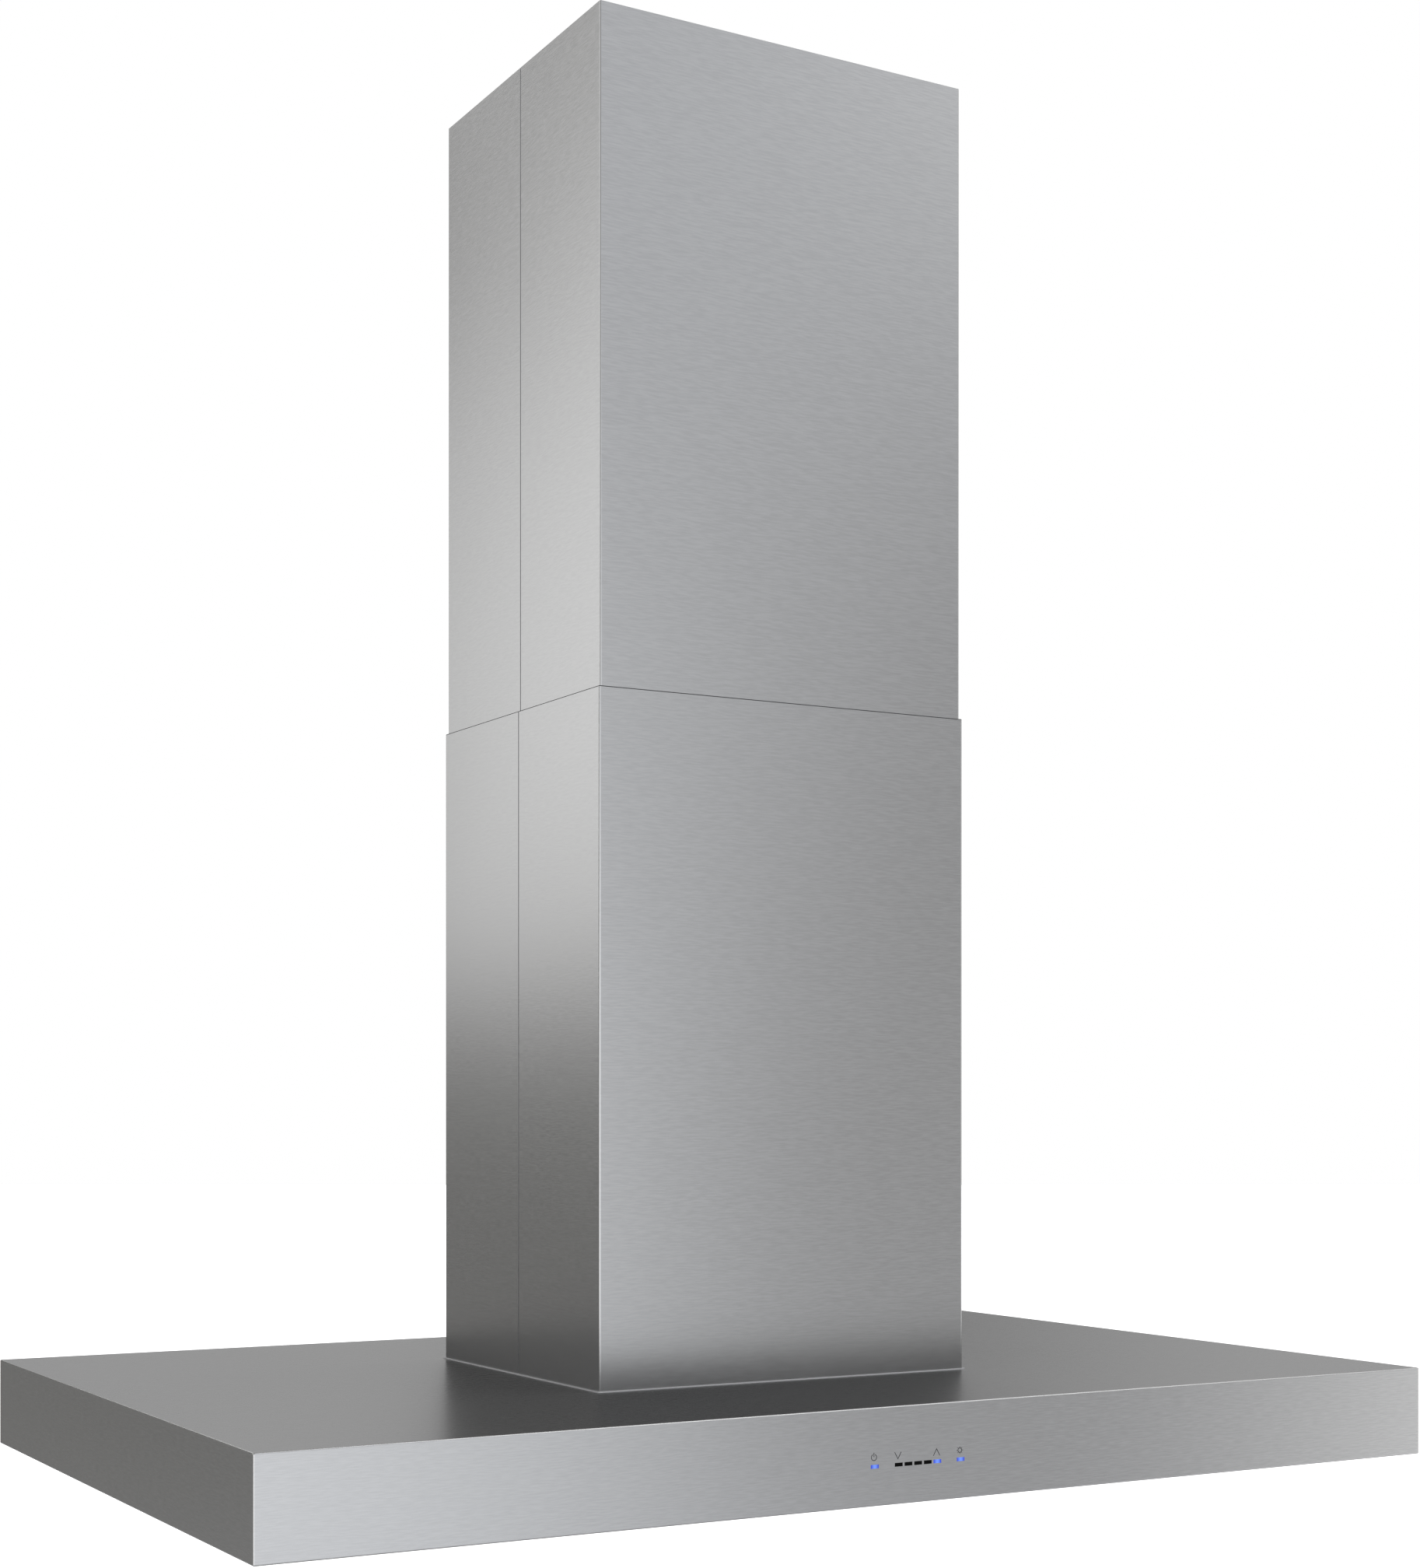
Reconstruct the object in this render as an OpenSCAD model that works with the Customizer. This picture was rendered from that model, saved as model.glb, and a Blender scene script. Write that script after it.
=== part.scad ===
// Island range hood: a flat stainless canopy hung from the ceiling by a telescopic frame,
// with a two-stage duct cover, a double-inlet blower, a damper collar, baffle filters and lamps.
// Millimetres, +Z up. The origin is the centre of the ceiling plate's top face, the front is -Y.

/* [Canopy] */
// Overall width of the canopy
canopy_w = 1066; // [1040:1:1120]
// Overall depth of the canopy
canopy_d = 686; // [670:1:720]
// Height of the canopy's rim
canopy_h = 75.5; // [74:0.5:80]
// Thickness of the canopy's sheet
canopy_sheet = 1.2; // [1:0.1:1.5]
// Width of the lip turned in under the rim
rim_lip = 12; // [10:1:16]
// How far the underside panel sits above the rim's lower edge
panel_recess = 16; // [14:1:18]

/* [Duct cover] */
// Width of the lower duct cover
lower_cover_w = 356; // [354:0.5:360]
// Depth of the lower duct cover
lower_cover_d = 306.5; // [304:0.5:310]
// Height of the lower duct cover above the canopy
lower_cover_h = 567.5; // [560:0.5:600]
// Height of the upper duct cover that shows at full extension
upper_visible_h = 550.5; // [540:0.5:560]
// Thickness of the covers' sheet
cover_sheet = 0.9; // [0.8:0.1:1]
// Sliding gap between the lower and the upper cover
cover_gap = 1; // [0.9:0.1:1.2]
// Length of upper cover still inside the lower one at full extension
cover_overlap = 40; // [30:1:50]
// Place of the joint between the front and rear cover halves
seam_y = -2.3; // [-4:0.1:4]

/* [Height adjustment] */
// Travel of the telescopic frame
adjust_travel = 460; // [420:1:460]
// Height of the lower uprights above the canopy
lower_upright_h = 540; // [535:1:545]
// Length of the upper uprights
upper_upright_h = 637; // [630:1:640]

/* [Blower and damper] */
// Outer radius of the blower wheel
wheel_r = 72; // [70:1:74]
// Blades in each half of the wheel
wheel_blades = 32; // [24:1:36]
// Outer radius of the duct collar
collar_r = 75; // [74:0.5:76]
// Height of the duct collar
collar_h = 62; // [58:1:70]

/* [Filters and lamps] */
// Width of one baffle filter
filter_w = 366; // [360:1:368]
// Depth of one baffle filter
filter_d = 366; // [360:1:368]
// Thickness of one baffle filter
filter_t = 14; // [13:0.5:15]
// Lamp centres from the middle, left to right
lamp_x = 452; // [440:1:460]
// Lamp centres from the middle, front to back
lamp_y = 232; // [225:1:240]

/* [Hidden] */
$fn = 64;
SIDES = ["left", "right"];
ENDS = ["front", "rear"];
CORNERS = [for (e = ENDS, s = SIDES) str(e, "_", s)];

// Heights. deck_z is the canopy's top face; hood parts are drawn from there.
deck_z = -(lower_cover_h + upper_visible_h);
rim_z = -canopy_h;
panel_z = rim_z + panel_recess;
panel_sheet = 1;
bend_r = 1.5;

// Duct covers
upper_cover_w = lower_cover_w - 2 * (cover_sheet + cover_gap);
upper_cover_d = lower_cover_d - 2 * (cover_sheet + cover_gap);
seam_gap = 0.9;
lap_w = 16;
lap_t = 0.5;
top_flange = 12;
foot_t = 1;
foot_proud = 1.8;
foot_flange_in = 22;
foot_upstand = 12;

// Telescopic frame: the upper uprights stand outside the lower ones
upright_t = 1.6;
upright_gap = 0.6;
upright_leg = 24;
upper_frame_x = upper_cover_w / 2 - cover_sheet - 3.2;
upper_frame_y = upper_cover_d / 2 - cover_sheet - 3.4;
lower_frame_x = upper_frame_x - upright_t - upright_gap;
lower_frame_y = upper_frame_y - upright_t - upright_gap;
upright_top_z = -3.4;
bolt_y = upper_frame_y - 10;
clamp_d = 5;
clamp_heights = [lower_upright_h - 15, lower_upright_h - 45];
clamp_slot_low = min(clamp_heights) - 7;
clamp_slot_high = max(clamp_heights) + adjust_travel + 7;
foot_bolt_d = 6;
foot_bolt_x = lower_frame_x - upright_t - 10.5;
foot_bolt_y = lower_frame_y - upright_t - 10.5;
foot_tab = 20;

// Ceiling plate
plate_t = 2;
plate_pad = [320, 270];
plate_edge = [342, 292];
edge_drop = 1.2;
duct_cutout = [224, 182];
plate_flange_h = 30;
ceiling_slot_pitch = [276, 216];
ceiling_slot = [24, 8];
supply_hole_d = 25;
supply_x = 130;
supply_y = 0;

// Blower chamber, scroll and motor. The wheel turns about X.
chamber = [292, 242, 300];
chamber_sheet = 1;
chamber_flange = 9;
deck_opening = [280, 230];
fan_y = -26;
fan_z = 122;
scroll_half = 60;
scroll_r0 = wheel_r + 7;
scroll_r1 = wheel_r + 36;
scroll_tongue_y = 30;
scroll_top = 114;
inlet_r = 60;
wheel_half = 52;
wheel_inner_r = 58;
hub_x = 5;
motor_r = 42;
shaft_r = 4;
running_gap = 0.05;

// Damper
collar_sheet = 1;
collar_flange = 176;
damper_z = chamber[2] + 36;
damper_pin_r = 2;
knuckle_r = 3.6;
flap_t = 0.8;
flap_r = collar_r - collar_sheet - 1.5;

// Junction box, beside the collar on the chamber's lid
jbox = [40, 104, 42];
jbox_x = supply_x - jbox[0] / 2;

// Filters hang on stubs at their rear lower edge
filter_side_gap = 2;
filter_front_gap = 4;
filter_rear_gap = 6;
filter_bar = 14;
filter_x = (filter_w + filter_bar) / 2 + filter_side_gap;
pivot_r = 2;
pivot_y = filter_d / 2;
pivot_z = panel_z + panel_sheet + pivot_r + 1.2;
stub_out = 6;
filter_border = 12;
filter_sheet = 0.8;
baffle_pitch = 27;
baffle_w = 22;
baffle_leg = 4.4;
baffle_sheet = 0.6;
baffles_low = 12;

// Controls on the rim's front face
window = [7.2, 2.8];
window_z = rim_z + 30.4;
lit_window_x = [-39.25, 18.75, 40.75];
unlit_window_x = [-17.25, -8.25, 0.75, 9.75];
window_gap = 0.05;

// ---------------------------------------------------------------- shared shapes

module hood() translate([0, 0, deck_z]) children();

module box_at(low, high) translate(low) cube(high - low);

// A centred rectangle with true round corners
module round_rect(w, d, r) {
    square([w - 2 * r, d], center = true);
    square([w, d - 2 * r], center = true);
    for (x = [-1, 1], y = [-1, 1]) translate([x * (w / 2 - r), y * (d / 2 - r)]) circle(r);
}

// A flat slot of the given length and width, along X
module slot_2d(length, width) {
    square([length - width, width], center = true);
    for (x = [-1, 1]) translate([x * (length - width) / 2, 0]) circle(width / 2);
}

module hex_nut(d) difference() {
    cylinder(d = 1.75 * d, h = 0.8 * d, $fn = 6);
    translate([0, 0, -1]) cylinder(r = d / 2 + 0.02, h = 0.8 * d + 2);
}

// A pan-head screw: head on +Z, shank down to -length
module screw(d, length, head_r, head_h) {
    difference() {
        cylinder(r = head_r, h = head_h);
        translate([0, 0, head_h * 0.45]) cylinder(r = d * 0.42, h = head_h, $fn = 6);
    }
    translate([0, 0, -length]) cylinder(d = d, h = length);
}

// ---------------------------------------------------------------- cables

function unit(v) = v / norm(v);
function any_normal(t) = unit(cross(t, abs(t[2]) < 0.9 ? [0, 0, 1] : [1, 0, 0]));

// Catmull-Rom curve through the route's points
function route_point(p, i, u) =
    let (n = len(p), a = p[max(i - 1, 0)], b = p[i], c = p[i + 1], d = p[min(i + 2, n - 1)])
    0.5 * (2 * b + (c - a) * u + (2 * a - 5 * b + 4 * c - d) * u * u
           + (3 * b - a - 3 * c + d) * u * u * u);
function smooth_route(p, steps) = concat(
    [for (i = [0 : len(p) - 2], k = [0 : steps - 1]) route_point(p, i, k / steps)],
    [p[len(p) - 1]]
);
function tangents(p) = [for (i = [0 : len(p) - 1])
    unit(p[min(i + 1, len(p) - 1)] - p[max(i - 1, 0)])];
function carried(n, t) = unit(n - (n * t) * t);
function normals(t) = [for (i = 0, n = any_normal(t[0]); i < len(t);
    i = i + 1, n = carried(n, t[min(i, len(t) - 1)])) n];

// A round cable swept along a route
module cable(route, d, steps = 4, sides = 8) {
    p = smooth_route(route, steps);
    t = tangents(p);
    n = normals(t);
    rings = len(p);
    points = [for (i = [0 : rings - 1], k = [0 : sides - 1])
        p[i] + d / 2 * (cos(360 * k / sides) * n[i] + sin(360 * k / sides) * cross(t[i], n[i]))];
    walls = [for (i = [0 : rings - 2], k = [0 : sides - 1], half = [0, 1])
        let (a = i * sides + k, b = i * sides + (k + 1) % sides)
        half == 0 ? [a, b, b + sides] : [a, b + sides, a + sides]];
    first = [for (k = [sides - 1 : -1 : 0]) k];
    last = [for (k = [0 : sides - 1]) (rings - 1) * sides + k];
    polyhedron(points, concat([first], walls, [last]));
}

// ---------------------------------------------------------------- ceiling side

module ceiling_plate() color("silver") difference() {
    union() {
        translate([0, 0, -plate_t]) linear_extrude(plate_t) square(plate_pad, center = true);
        translate([0, 0, -edge_drop - plate_t]) linear_extrude(plate_t) difference() {
            square(plate_edge, center = true);
            square(plate_pad - [10, 10], center = true);
        }
        for (x = [-1, 1]) translate([x * (upper_frame_x - upright_t - 1.1), 0, 0])
            box_at([-1, 5 - upper_frame_y, -plate_flange_h], [1, upper_frame_y - 5, -edge_drop]);
    }
    translate([0, 0, -10]) linear_extrude(20) round_rect(duct_cutout[0], duct_cutout[1], 6);
    for (x = [-1, 1], y = [-1, 1])
        translate([x * ceiling_slot_pitch[0] / 2, y * ceiling_slot_pitch[1] / 2, -10])
            linear_extrude(20) slot_2d(ceiling_slot[0], ceiling_slot[1]);
    translate([supply_x, supply_y, -10]) cylinder(d = supply_hole_d, h = 20);
    frame_bolt_places() rotate([0, 90, 0]) translate([0, 0, -10]) cylinder(d = 5.3, h = 20);
}

// The eight bolts that join the upper uprights to the ceiling plate's flanges
module frame_bolt_places() {
    for (x = [-1, 1], y = [-1, 1], z = [-10, -23])
        translate([x * upper_frame_x, y * bolt_y, z]) children();
}

module frame_bolt(x) rotate([0, 90 * x, 0]) {
    translate([0, 0, 0.05]) screw(5, 9, 4.6, 2.4);
    translate([0, 0, -upright_t - 2.2 - 4.1]) hex_nut(5);
}

module ceiling_frame_bolts() color("gainsboro")
    for (x = [-1, 1], y = [-1, 1], z = [-10, -23])
        translate([x * upper_frame_x, y * bolt_y, z]) frame_bolt(x);

// An angle section with its outer corner at [x, y], its legs pointing inwards
module angle_2d(x, y, leg, t) {
    sx = sign(x);
    sy = sign(y);
    translate([x - (sx > 0 ? t : 0), y - (sy > 0 ? leg : 0)]) square([t, leg]);
    translate([x - (sx > 0 ? leg : 0), y - (sy > 0 ? t : 0)]) square([leg, t]);
}

// sx is -1 at the left and 1 at the right, sy is -1 at the front and 1 at the rear
module upper_upright(sx, sy) color("lightgray") difference() {
    translate([0, 0, upright_top_z - upper_upright_h]) linear_extrude(upper_upright_h)
        angle_2d(sx * upper_frame_x, sy * upper_frame_y, upright_leg, upright_t);
    slot_length = clamp_slot_high - clamp_slot_low;
    slot_mid = deck_z + (clamp_slot_high + clamp_slot_low) / 2;
    translate([sx * upper_frame_x - 5, sy * bolt_y, slot_mid]) rotate([0, 90, 0])
        linear_extrude(10) slot_2d(slot_length, clamp_d + 0.5);
    frame_bolt_places() rotate([0, 90, 0]) translate([0, 0, -5]) cylinder(d = 5.3, h = 10);
}

// ---------------------------------------------------------------- duct covers

module cover_section(w, d, sheet) difference() {
    round_rect(w, d, bend_r);
    round_rect(w - 2 * sheet, d - 2 * sheet, bend_r - sheet);
}

// Keeps the part of a plan on the front (side -1) or rear (side 1) of the seam
module seam_side(side, d) intersection() {
    children();
    translate([-500, side < 0 ? -d : seam_y + seam_gap / 2])
        square([1000, side < 0 ? d + seam_y - seam_gap / 2 : d]);
}

// The strips spot-welded behind the front half's edges, which the rear half's edges lie on
module lap_strips(w, sheet, h) for (x = [-1, 1])
    translate([x * (w / 2 - sheet - lap_t / 2), seam_y, h / 2])
        cube([lap_t, lap_w, h], center = true);

module lower_cover(side) color("lightsteelblue") hood() translate([0, 0, foot_t]) {
    h = lower_cover_h - foot_t;
    linear_extrude(h) seam_side(side, lower_cover_d)
        cover_section(lower_cover_w, lower_cover_d, cover_sheet);
    if (side < 0) translate([0, 0, foot_upstand + 3])
        lap_strips(lower_cover_w, cover_sheet, h - foot_upstand - 5);
}

module upper_cover(side) color("lightsteelblue") {
    h = upper_visible_h + cover_overlap;
    translate([0, 0, -h]) {
        linear_extrude(h) seam_side(side, upper_cover_d)
            cover_section(upper_cover_w, upper_cover_d, cover_sheet);
        if (side < 0) translate([0, 0, 2]) lap_strips(upper_cover_w, cover_sheet, h - 8);
    }
    translate([0, 0, -cover_sheet]) linear_extrude(cover_sheet) seam_side(side, upper_cover_d)
        difference() {
            round_rect(upper_cover_w - 1, upper_cover_d - 1, bend_r);
            square([upper_cover_w - 2 * top_flange, upper_cover_d - 2 * top_flange], center = true);
        }
}

module foot_screw_places() for (x = [-110, 0, 110], y = [-1, 1])
    translate([x, y * (lower_cover_d / 2 - 9.5), foot_t]) children();

module cover_foot_frame() color("silver") hood() difference() {
    union() {
        linear_extrude(foot_t) difference() {
            round_rect(lower_cover_w + 2 * foot_proud, lower_cover_d + 2 * foot_proud, bend_r);
            square([lower_cover_w - 2 * foot_flange_in, lower_cover_d - 2 * foot_flange_in],
                center = true);
        }
        linear_extrude(foot_upstand) difference() {
            square([for (s = [lower_cover_w, lower_cover_d]) s - 2 * cover_sheet - 0.4],
                center = true);
            square([for (s = [lower_cover_w, lower_cover_d]) s - 2 * cover_sheet - 2.4],
                center = true);
        }
    }
    foot_screw_places() translate([0, 0, -5]) cylinder(d = 4.3, h = 10);
    for (x = [-1, 1], y = [-1, 1]) translate([x * foot_bolt_x, y * foot_bolt_y, 0])
        cube([foot_tab + 12, foot_tab + 12, 4], center = true);
}

// The screws that hold the foot frame and the blower chamber down on the canopy
module deck_screws() color("gainsboro") hood() {
    foot_screw_places() translate([0, 0, 0.05]) screw(4, 8, 3.8, 2.2);
    chamber_screw_places() translate([0, 0, 0.05]) screw(4, 8, 3.8, 2.2);
}

// ---------------------------------------------------------------- lower frame

module lower_upright(sx, sy) color("lightgray") hood() difference() {
    union() {
        linear_extrude(lower_upright_h)
            angle_2d(sx * lower_frame_x, sy * lower_frame_y, upright_leg - 2, upright_t);
        translate([sx * foot_bolt_x, sy * foot_bolt_y, 1])
            cube([foot_tab + 1.2, foot_tab + 1.2, 2], center = true);
    }
    translate([sx * foot_bolt_x, sy * foot_bolt_y, -5]) cylinder(d = foot_bolt_d + 0.4, h = 10);
    for (z = clamp_heights) translate([sx * lower_frame_x - 5, sy * bolt_y, z])
        rotate([0, 90, 0]) cylinder(d = clamp_d + 0.3, h = 10);
}

module frame_clamp_bolts() color("gainsboro") hood()
    for (x = [-1, 1], y = [-1, 1], z = clamp_heights)
        translate([x * upper_frame_x, y * bolt_y, z]) rotate([0, 90 * x, 0]) {
            translate([0, 0, 0.1]) screw(clamp_d, 9.5, 4.6, 2.3);
            translate([0, 0, -2 * upright_t - upright_gap - 4.1]) hex_nut(clamp_d);
        }

module upright_foot_bolts() color("gainsboro") hood()
    for (x = [-1, 1], y = [-1, 1]) translate([x * foot_bolt_x, y * foot_bolt_y, 0]) {
        translate([0, 0, 2.05]) screw(foot_bolt_d, 10, 5, 3);
        translate([0, 0, -canopy_sheet - 0.8 * foot_bolt_d - 0.05]) hex_nut(foot_bolt_d);
    }

// ---------------------------------------------------------------- canopy

panel_screw_x = canopy_w / 2 - rim_lip - 12;
panel_screw_y = canopy_d / 2 - rim_lip - 12;
bracket_z = panel_z + panel_sheet + 0.1;
bracket_t = 1.5;

module panel_screw_places() for (x = [-1, 0, 1], y = [-1, 1])
    translate([x * panel_screw_x, y * panel_screw_y, 0]) children();

module canopy_shell() color("silver") hood() difference() {
    union() {
        difference() {
            translate([0, 0, rim_z]) linear_extrude(canopy_h) round_rect(canopy_w, canopy_d, bend_r);
            translate([0, 0, rim_z + canopy_sheet]) linear_extrude(canopy_h - 2 * canopy_sheet)
                square([canopy_w - 2 * canopy_sheet, canopy_d - 2 * canopy_sheet], center = true);
            translate([0, 0, rim_z - 1]) linear_extrude(3)
                square([canopy_w - 2 * rim_lip, canopy_d - 2 * rim_lip], center = true);
        }
        // Angle brackets inside the front and rear walls, which the underside panel screws to
        for (x = [-1, 0, 1], y = [-1, 1]) {
            wall = canopy_d / 2 - canopy_sheet / 2;
            low = y < 0 ? -wall : panel_screw_y - 9;
            high = y < 0 ? 9 - panel_screw_y : wall;
            box_at([x * panel_screw_x - 10, low, bracket_z],
                [x * panel_screw_x + 10, high, bracket_z + bracket_t]);
        }
    }
    translate([0, 0, -10]) linear_extrude(20) square(deck_opening, center = true);
    for (x = concat(lit_window_x, unlit_window_x)) translate([x, -canopy_d / 2, window_z])
        cube([window[0] + 2 * window_gap, 10, window[1] + 2 * window_gap], center = true);
    foot_screw_places() translate([0, 0, -8]) cylinder(d = 4.3, h = 12);
    for (x = [-1, 1], y = [-1, 1]) translate([x * foot_bolt_x, y * foot_bolt_y, -5])
        cylinder(d = foot_bolt_d + 0.4, h = 10);
    chamber_screw_places() translate([0, 0, -5]) cylinder(d = 4.3, h = 10);
    panel_screw_places() translate([0, 0, bracket_z - 2]) cylinder(d = 4.3, h = 8);
}

module underside_panel() color("lightgray") hood() difference() {
    pan = [canopy_w - 2 * rim_lip - 2, canopy_d - 2 * rim_lip - 2];
    edge_h = 18;
    union() {
        translate([0, 0, panel_z]) linear_extrude(panel_sheet) square(pan, center = true);
        translate([0, 0, panel_z]) linear_extrude(edge_h) difference() {
            square(pan, center = true);
            square(pan - [2, 2] * panel_sheet, center = true);
        }
    }
    for (x = [-1, 1]) {
        half = filter_w / 2 + filter_side_gap;
        box_at([x * filter_x - half, -filter_d / 2 - filter_front_gap, panel_z - 1],
            [x * filter_x + half, pivot_y + filter_rear_gap, panel_z + 3]);
        for (y = [-1, 1]) translate([x * lamp_x, y * lamp_y, panel_z - 1]) cylinder(r = 31, h = 4);
    }
    panel_screw_places() translate([0, 0, panel_z - 1]) cylinder(d = 4.3, h = 4);
    // Reliefs where the brackets cross the pan's turned-up edge
    for (x = [-1, 0, 1], y = [-1, 1])
        translate([x * panel_screw_x, y * pan[1] / 2, bracket_z + bracket_t / 2])
            cube([22, 8, bracket_t + 0.8], center = true);
}

module panel_screws() color("gainsboro") hood() panel_screw_places()
    translate([0, 0, panel_z - 0.05]) rotate([180, 0, 0]) screw(4, 8, 3.8, 2.2);

// ---------------------------------------------------------------- blower

module chamber_screw_places() {
    for (x = [-90, 90], y = [-1, 1])
        translate([x, y * (chamber[1] / 2 + chamber_flange / 2), chamber_sheet]) children();
    for (x = [-1, 1], y = [-70, 70])
        translate([x * (chamber[0] / 2 + chamber_flange / 2), y, chamber_sheet]) children();
}

module blower_chamber() color("darkgray") hood() difference() {
    inner = [for (s = chamber) s - 2 * chamber_sheet];
    union() {
        difference() {
            linear_extrude(chamber[2]) square([chamber[0], chamber[1]], center = true);
            translate([0, 0, -1]) linear_extrude(chamber[2] - chamber_sheet + 1)
                square([inner[0], inner[1]], center = true);
        }
        for (x = [-1, 1]) {
            low = x < 0 ? -chamber[0] / 2 - chamber_flange : chamber[0] / 2 - 0.5;
            box_at([low, -105, 0], [low + chamber_flange + 0.5, 105, chamber_sheet]);
        }
        for (y = [-1, 1]) {
            low = y < 0 ? -chamber[1] / 2 - chamber_flange : chamber[1] / 2 - 0.5;
            box_at([-130, low, 0], [130, low + chamber_flange + 0.5, chamber_sheet]);
        }
    }
    translate([0, 0, chamber[2] - 5]) cylinder(r = collar_r - collar_sheet, h = 10);
    translate([-115, -60, chamber[2] - 5]) cylinder(r = 5, h = 10);
    chamber_screw_places() translate([0, 0, -5]) cylinder(d = 4.3, h = 10);
}

// The scroll's outline in the wheel's plane, grown outwards by g: y is across, z is up
function scroll_radius(a) = scroll_r1 + (scroll_r1 - scroll_r0) * a / 270;
function scroll_outline(g) = concat(
    [for (a = [-270 : 10 : 0]) (scroll_radius(a) + g) * [cos(a), sin(a)]],
    [[scroll_r1 + g, scroll_top], [scroll_tongue_y - g, scroll_top],
     [scroll_tongue_y - g, scroll_r0 + g]]
);

// Draws a plan in the wheel's plane and extrudes it from x0 to x1
module across_fan(x0, x1) translate([x0, fan_y, fan_z]) rotate([90, 0, 90])
    linear_extrude(x1 - x0) children();

module scroll_wrap() color("gray") hood() across_fan(-scroll_half, scroll_half) difference() {
    polygon(scroll_outline(1));
    polygon(scroll_outline(0));
}

// A side plate with its inlet ring; sx is -1 at the left and 1 at the right
module scroll_side(sx) color("gray") hood() {
    x0 = sx < 0 ? -scroll_half - 1 : scroll_half;
    across_fan(x0, x0 + 1) difference() {
        polygon(scroll_outline(1));
        circle(inlet_r);
    }
    x1 = sx < 0 ? x0 - 5 : x0 + 1;
    across_fan(x1, x1 + 5) difference() {
        circle(inlet_r + 1.5);
        circle(inlet_r);
    }
}

// Rectangular at the scroll's mouth, round at the chamber's lid
module transition_solid(g) {
    mouth = [2 * scroll_half + 2 * g, scroll_r1 - scroll_tongue_y + 2 * g];
    mouth_y = fan_y + (scroll_r1 + scroll_tongue_y) / 2;
    hull() {
        translate([0, mouth_y, fan_z + scroll_top + 0.5 + (g > 0 ? 0 : -0.6)])
            linear_extrude(1) square(mouth, center = true);
        translate([0, 0, chamber[2] - chamber_sheet - 1.2 + (g > 0 ? 0 : 0.6)])
            cylinder(r = collar_r - 3.5 + g, h = 1, $fn = 64);
    }
}

module outlet_transition() color("gray") hood() difference() {
    transition_solid(1);
    transition_solid(0);
}

module motor_body() color("dimgray") hood() difference() {
    translate([-66, fan_y, fan_z]) rotate([0, 90, 0]) {
        cylinder(r = motor_r, h = 64);
        translate([0, 0, -4]) cylinder(r = 20, h = 4.5);
        for (z = [10 : 8 : 50]) translate([0, 0, z]) cylinder(r = motor_r + 2.5, h = 3);
    }
    translate([-24, fan_y, fan_z]) rotate([0, 90, 0]) cylinder(r = shaft_r + running_gap, h = 30);
}

module motor_bracket() color("darkgray") hood() {
    across_fan(-68.2, -66.1) difference() {
        union() {
            circle(motor_r + 3);
            for (a = [90, 210, 330]) rotate(a) translate([0, -8]) square([inlet_r + 12, 16]);
        }
        circle(20.5);
    }
    for (a = [90, 210, 330]) translate([0, fan_y, fan_z]) rotate([a, 0, 0])
        box_at([-68.2, inlet_r + 5, -8], [-scroll_half - 1.05, inlet_r + 12, 8]);
}

module motor_shaft() color("silver") hood() translate([-22, fan_y, fan_z]) rotate([0, 90, 0])
    cylinder(r = shaft_r, h = 44);

// One forward-curved blade, as an arc strip between the wheel's inner and outer radius
module blade_2d() {
    steps = 5;
    face = [for (i = [0 : steps])
        let (u = i / steps, r = wheel_inner_r + u * (wheel_r - wheel_inner_r), a = 9 * u * u)
        r * [cos(a), sin(a)]];
    back = [for (i = [steps : -1 : 0])
        let (u = i / steps, r = wheel_inner_r + u * (wheel_r - wheel_inner_r), a = 9 * u * u)
        r * [cos(a), sin(a)] + 0.8 * [-sin(a + 12), cos(a + 12)]];
    polygon(concat(face, back));
}

module blower_wheel() color("silver") hood() {
    for (x = [-wheel_half, wheel_half - 2]) across_fan(x, x + 2) difference() {
        circle(wheel_r + 1);
        circle(wheel_inner_r + 1);
    }
    across_fan(-wheel_half + 1, wheel_half - 1)
        for (k = [0 : wheel_blades - 1]) rotate(360 * k / wheel_blades) blade_2d();
    across_fan(hub_x, hub_x + 1.5) difference() {
        circle(wheel_r + 0.5);
        circle(shaft_r + 0.02);
    }
    across_fan(hub_x, hub_x + 14) difference() {
        circle(11);
        circle(shaft_r + 0.02);
    }
}

module capacitor() color("whitesmoke") hood() translate([-117, 62, chamber[2] + 0.05]) {
    cylinder(r = 17, h = 58);
    for (y = [-7, 7]) translate([0, y, 57]) cylinder(r = 2.5, h = 7);
}

// ---------------------------------------------------------------- damper

// The collar, its square flange riveted to the chamber's lid
module damper_collar() color("silver") hood() difference() {
    union() {
        translate([0, 0, chamber[2]]) linear_extrude(1) round_rect(collar_flange, collar_flange, 4);
        translate([0, 0, chamber[2]]) cylinder(r = collar_r, h = collar_h);
        for (x = [-1, 1], y = [-1, 1]) translate([x * 79, y * 79, chamber[2] + 1])
            cylinder(r1 = 3.4, r2 = 2.2, h = 1.1);
    }
    translate([0, 0, chamber[2] - 1]) cylinder(r = collar_r - collar_sheet, h = collar_h + 2);
    translate([-100, 0, damper_z]) rotate([0, 90, 0])
        cylinder(r = damper_pin_r + running_gap, h = 200);
}

module damper_pin() color("silver") hood() translate([0.2 - collar_r, 0, damper_z])
    rotate([0, 90, 0]) cylinder(r = damper_pin_r, h = 2 * collar_r - 0.4);

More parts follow.
